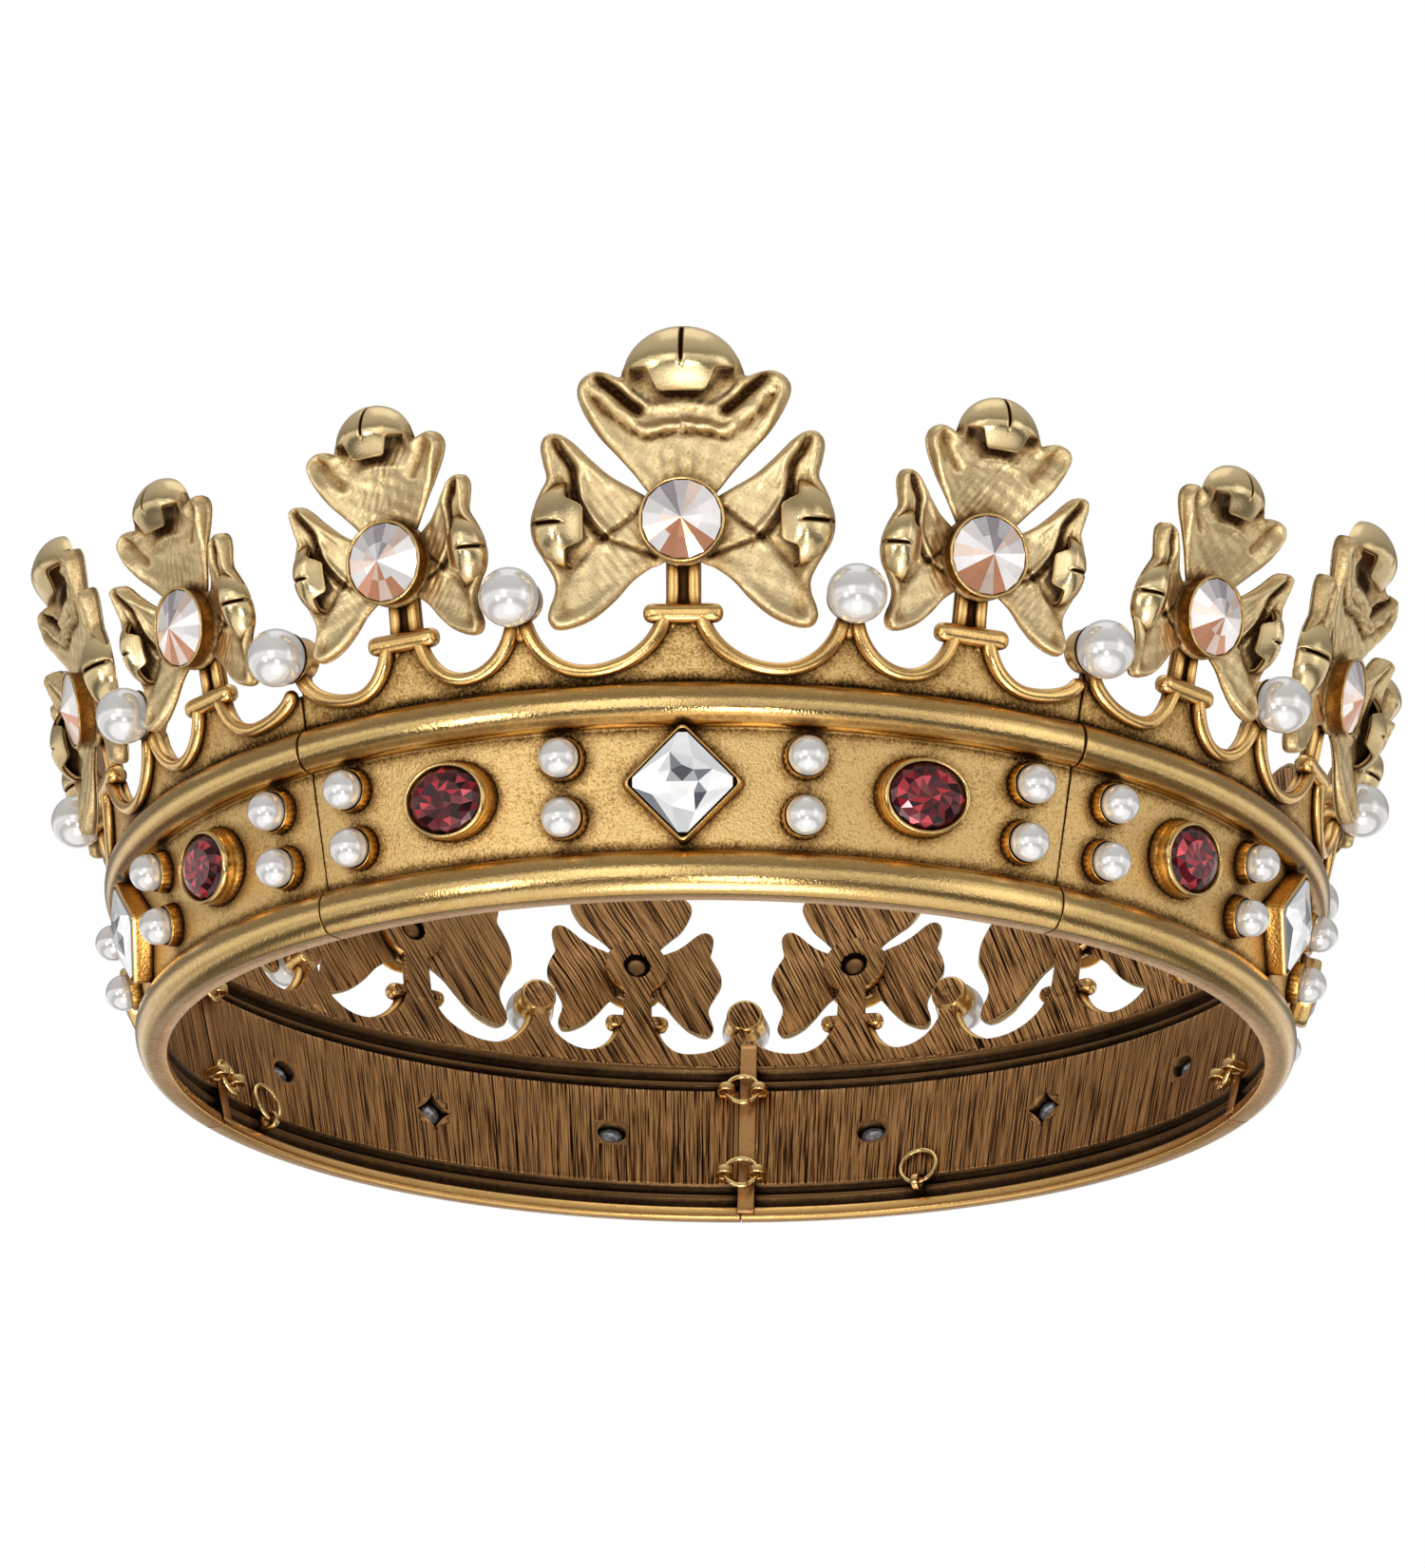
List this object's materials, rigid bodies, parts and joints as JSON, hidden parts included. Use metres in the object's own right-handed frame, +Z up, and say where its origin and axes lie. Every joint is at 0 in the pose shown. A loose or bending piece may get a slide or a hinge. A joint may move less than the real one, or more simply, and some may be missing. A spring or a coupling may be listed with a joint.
{
  "type": "crown",
  "caption": "Round costume crown of jointed gold band segments with three-petal fleurons, faceted crystals, dark red oval stones and pearls.",
  "frame": {"origin": "centre of the bounding box footprint, on the plane the bottom rim rests on", "axes": "+Z up through the open crown, -Y towards the front fleuron, +X towards the wearer left side of the picture right"},
  "size_m": [0.2266, 0.2298, 0.0825],
  "materials": {
    "antique_gold": "antiqued, polished on the rails and granular in the recesses",
    "satin_gold": "satin with polished domes and brown creases",
    "ring_gold": "polished",
    "champagne_crystal": "faceted, foil-backed",
    "clear_crystal": "faceted, foil-backed",
    "garnet": "polished cabochon with facets",
    "pearl": "pearlescent"
  },
  "bodies": {
    "segment_front": {"band_front": "antique_gold", "fleuron_front_left": "satin_gold", "crystal_front_left": "champagne_crystal", "fleuron_front_centre": "satin_gold", "crystal_front_centre": "champagne_crystal", "fleuron_front_right": "satin_gold", "crystal_front_right": "champagne_crystal", "square_crystal_front": "clear_crystal"},
    "segment_right_front": {"band_right_front": "antique_gold", "fleuron_right_front_left": "satin_gold", "crystal_right_front_left": "champagne_crystal", "fleuron_right_front_centre": "satin_gold", "crystal_right_front_centre": "champagne_crystal", "fleuron_right_front_right": "satin_gold", "crystal_right_front_right": "champagne_crystal", "square_crystal_right_front": "clear_crystal"},
    "segment_right_rear": {"band_right_rear": "antique_gold", "fleuron_right_rear_left": "satin_gold", "crystal_right_rear_left": "champagne_crystal", "fleuron_right_rear_centre": "satin_gold", "crystal_right_rear_centre": "champagne_crystal", "fleuron_right_rear_right": "satin_gold", "crystal_right_rear_right": "champagne_crystal", "square_crystal_right_rear": "clear_crystal"},
    "segment_left_rear": {"band_left_rear": "antique_gold", "fleuron_left_rear_left": "satin_gold", "crystal_left_rear_left": "champagne_crystal", "fleuron_left_rear_centre": "satin_gold", "crystal_left_rear_centre": "champagne_crystal", "fleuron_left_rear_right": "satin_gold", "crystal_left_rear_right": "champagne_crystal", "square_crystal_left_rear": "clear_crystal"},
    "segment_left_front": {"band_left_front": "antique_gold", "fleuron_left_front_left": "satin_gold", "crystal_left_front_left": "champagne_crystal", "fleuron_left_front_centre": "satin_gold", "crystal_left_front_centre": "champagne_crystal", "fleuron_left_front_right": "satin_gold", "crystal_left_front_right": "champagne_crystal", "square_crystal_left_front": "clear_crystal"},
    "link_right_front_lower": {"link_right_front_lower": "ring_gold"},
    "link_right_front_upper": {"link_right_front_upper": "ring_gold"},
    "link_right_rear_lower": {"link_right_rear_lower": "ring_gold"},
    "link_right_rear_upper": {"link_right_rear_upper": "ring_gold"},
    "link_back_lower": {"link_back_lower": "ring_gold"},
    "link_back_upper": {"link_back_upper": "ring_gold"},
    "link_left_rear_lower": {"link_left_rear_lower": "ring_gold"},
    "link_left_rear_upper": {"link_left_rear_upper": "ring_gold"},
    "link_left_front_lower": {"link_left_front_lower": "ring_gold"},
    "link_left_front_upper": {"link_left_front_upper": "ring_gold"},
    "pin_ring_right": {"pin_ring_right": "ring_gold"},
    "pin_ring_left": {"pin_ring_left": "ring_gold"}
  },
  "joints": [
    {"name": "seam_right_front", "type": "hinge", "parent": "segment_front", "child": "segment_right_front", "pos_m": [0.05435, -0.07197, 0.0172], "axis": [0, 0, 1], "range_deg": [-0.85, 0.85]},
    {"name": "seam_right_rear", "type": "hinge", "parent": "segment_right_front", "child": "segment_right_rear", "pos_m": [0.08794, 0.03141, 0.0172], "axis": [0, 0, 1], "range_deg": [-2.3, 2.3]},
    {"name": "seam_left_front", "type": "hinge", "parent": "segment_front", "child": "segment_left_front", "pos_m": [-0.05435, -0.07197, 0.0172], "axis": [0, 0, 1], "range_deg": [-0.9, 0.9]},
    {"name": "seam_left_rear", "type": "hinge", "parent": "segment_left_front", "child": "segment_left_rear", "pos_m": [-0.08794, 0.03141, 0.0172], "axis": [0, 0, 1], "range_deg": [-2.3, 2.3]},
    {"name": "link_right_front_lower_swing", "type": "hinge", "parent": "segment_front", "child": "link_right_front_lower", "pos_m": [0.05311, -0.07027, 0.00875], "axis": [0.809, 0.5878, 0], "range_deg": [-16, 10]},
    {"name": "link_right_front_upper_swing", "type": "hinge", "parent": "segment_front", "child": "link_right_front_upper", "pos_m": [0.05561, -0.07371, 0.02583], "axis": [0.809, 0.5878, 0], "range_deg": [-16, 10]},
    {"name": "link_right_rear_lower_swing", "type": "hinge", "parent": "segment_right_front", "child": "link_right_rear_lower", "pos_m": [0.08593, 0.03076, 0.00875], "axis": [-0.309, 0.9511, 0], "range_deg": [-16, 10]},
    {"name": "link_right_rear_upper_swing", "type": "hinge", "parent": "segment_right_front", "child": "link_right_rear_upper", "pos_m": [0.08998, 0.03207, 0.02583], "axis": [-0.309, 0.9511, 0], "range_deg": [-16, 10]},
    {"name": "link_back_lower_swing", "type": "hinge", "parent": "segment_right_rear", "child": "link_back_lower", "pos_m": [0, 0.09319, 0.00875], "axis": [-1, 0, 0], "range_deg": [-16, 10]},
    {"name": "link_back_upper_swing", "type": "hinge", "parent": "segment_right_rear", "child": "link_back_upper", "pos_m": [0, 0.09745, 0.02583], "axis": [-1, 0, 0], "range_deg": [-16, 10]},
    {"name": "link_left_rear_lower_swing", "type": "hinge", "parent": "segment_left_front", "child": "link_left_rear_lower", "pos_m": [-0.08593, 0.03076, 0.00875], "axis": [-0.309, -0.9511, 0], "range_deg": [-16, 10]},
    {"name": "link_left_rear_upper_swing", "type": "hinge", "parent": "segment_left_front", "child": "link_left_rear_upper", "pos_m": [-0.08998, 0.03207, 0.02583], "axis": [-0.309, -0.9511, 0], "range_deg": [-16, 10]},
    {"name": "link_left_front_lower_swing", "type": "hinge", "parent": "segment_front", "child": "link_left_front_lower", "pos_m": [-0.05311, -0.07027, 0.00875], "axis": [0.809, -0.5878, 0], "range_deg": [-16, 10]},
    {"name": "link_left_front_upper_swing", "type": "hinge", "parent": "segment_front", "child": "link_left_front_upper", "pos_m": [-0.05561, -0.07371, 0.02583], "axis": [0.809, -0.5878, 0], "range_deg": [-16, 10]},
    {"name": "pin_ring_right_swing", "type": "hinge", "parent": "segment_right_rear", "child": "pin_ring_right", "pos_m": [0.03235, 0.0871, 0.00507], "axis": [0.9336, -0.3584, 0], "range_deg": [0, 165]},
    {"name": "pin_ring_left_swing", "type": "hinge", "parent": "segment_left_rear", "child": "pin_ring_left", "pos_m": [-0.08006, 0.04451, 0.00507], "axis": [0.4617, 0.887, 0], "range_deg": [0, 165]}
  ],
  "couplings": [
    {"joint": "seam_right_rear", "follows": "seam_right_front", "ratio": -2.618},
    {"joint": "seam_left_front", "follows": "seam_right_front", "ratio": -1},
    {"joint": "seam_left_rear", "follows": "seam_right_front", "ratio": 2.618}
  ]
}
